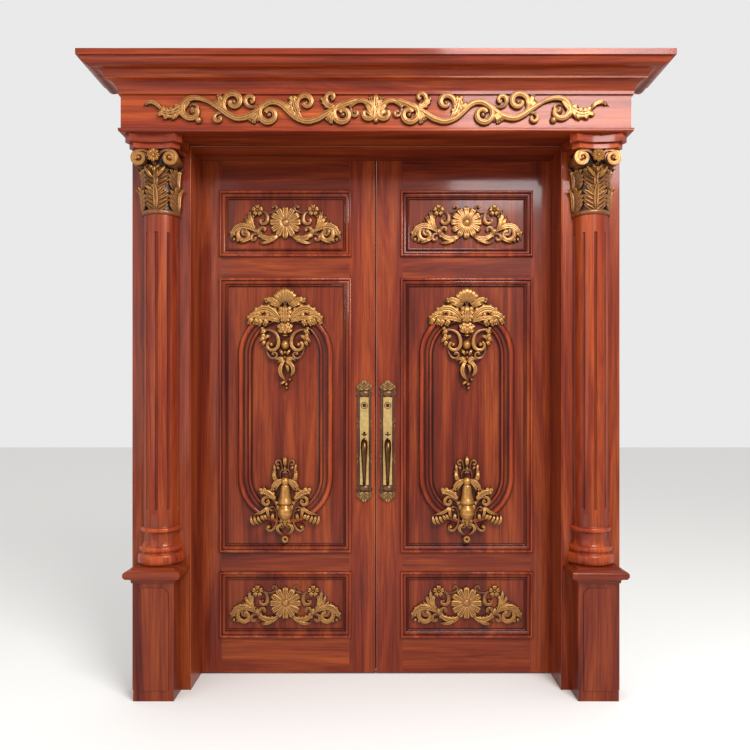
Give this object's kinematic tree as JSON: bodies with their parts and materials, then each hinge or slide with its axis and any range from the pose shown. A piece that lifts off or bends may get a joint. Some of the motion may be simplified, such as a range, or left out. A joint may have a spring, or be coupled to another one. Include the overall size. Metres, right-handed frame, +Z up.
{
  "type": "carved double entrance door",
  "caption": "Carved double entrance door with panelled leaves, gilded scroll carvings, fluted half columns on pedestals, frieze and cornice, thumb-latch handles and a mortise lock.",
  "frame": {"origin": "middle of the whole's footprint at floor level", "axes": "+X to the right seen from the front, +Y towards the back, where the leaves open, +Z up"},
  "size_m": [2.218, 0.512, 2.472],
  "materials": {
    "mahogany": "gloss lacquer",
    "gilt": "gilded over stained wood",
    "brass": "polished",
    "steel": "satin"
  },
  "bodies": {
    "surround": {"cornice": "mahogany", "cornice_top": "mahogany", "frieze_bead": "mahogany", "frieze_boards": "mahogany", "frieze_carving": "gilt", "head_casing": "mahogany", "head_jamb": "mahogany", "hinge_pins": "brass", "jamb_hinge_plates": "brass", "left_abacus": "mahogany", "left_capital": "gilt", "left_casing": "mahogany", "left_column": "mahogany", "left_jamb": "mahogany", "left_pedestal": "mahogany", "left_pedestal_cap": "mahogany", "right_abacus": "mahogany", "right_capital": "gilt", "right_casing": "mahogany", "right_column": "mahogany", "right_jamb": "mahogany", "right_pedestal": "mahogany", "right_pedestal_cap": "mahogany", "soffit_board": "mahogany"},
    "left_leaf": {"left_capsule_moulding": "mahogany", "left_grip": "brass", "left_handle_plate": "brass", "left_hinge_plates": "brass", "left_hinge_stile": "mahogany", "left_inner_pull": "brass", "left_lower_cartouche": "gilt", "left_meeting_stile": "mahogany", "left_middle_panel": "mahogany", "left_panel_carvings": "gilt", "left_panel_mouldings": "mahogany", "left_rails": "mahogany", "left_small_panels": "mahogany", "left_strike_plate": "steel", "left_upper_cartouche": "gilt"},
    "right_leaf": {"right_capsule_moulding": "mahogany", "right_grip": "brass", "right_handle_plate": "brass", "right_hinge_plates": "brass", "right_hinge_stile": "mahogany", "right_inner_pull": "brass", "right_lock_case": "steel", "right_lower_cartouche": "gilt", "right_meeting_stile": "mahogany", "right_middle_panel": "mahogany", "right_panel_carvings": "gilt", "right_panel_mouldings": "mahogany", "right_rails": "mahogany", "right_small_panels": "mahogany", "right_upper_cartouche": "gilt"},
    "left_thumb": {"left_thumb_lever": "brass"},
    "right_thumb": {"right_thumb_lever": "brass"},
    "left_key": {"left_key_plug": "brass"},
    "right_key": {"right_key_plug": "brass"},
    "latch": {"right_latch_bolt": "steel"},
    "dead_bolt": {"right_dead_bolt": "steel"}
  },
  "joints": [
    {"name": "left_leaf_swing", "type": "hinge", "parent": "surround", "child": "left_leaf", "pos_m": [-0.7665, 0.212, 1.1], "axis": [0, 0, 1], "range_deg": [0, 110]},
    {"name": "right_leaf_swing", "type": "hinge", "parent": "surround", "child": "right_leaf", "pos_m": [0.7665, 0.212, 1.1], "axis": [0, 0, -1], "range_deg": [0, 110]},
    {"name": "left_thumb_press", "type": "hinge", "parent": "left_leaf", "child": "left_thumb", "pos_m": [-0.05, 0.14, 1.03], "axis": [1, 0, 0], "range_deg": [0, 12], "stiffness_Nm_per_rad": 1.5, "springref_deg": -5.73},
    {"name": "right_thumb_press", "type": "hinge", "parent": "right_leaf", "child": "right_thumb", "pos_m": [0.05, 0.14, 1.03], "axis": [1, 0, 0], "range_deg": [0, 12], "stiffness_Nm_per_rad": 1.5, "springref_deg": -5.73},
    {"name": "left_key_turn", "type": "hinge", "parent": "left_leaf", "child": "left_key", "pos_m": [-0.05, 0.15, 1.152], "axis": [0, -1, 0], "range_deg": [0, 180]},
    {"name": "right_key_turn", "type": "hinge", "parent": "right_leaf", "child": "right_key", "pos_m": [0.05, 0.15, 1.152], "axis": [0, -1, 0], "range_deg": [0, 180]},
    {"name": "latch_slide", "type": "slide", "parent": "right_leaf", "child": "latch", "axis": [-1, 0, 0], "range_m": [0, 0.012]},
    {"name": "dead_bolt_slide", "type": "slide", "parent": "right_leaf", "child": "dead_bolt", "axis": [-1, 0, 0], "range_m": [0, 0.02]}
  ],
  "couplings": [
    {"joint": "right_key_turn", "follows": "dead_bolt_slide", "rad_per_m": 157.08}
  ]
}
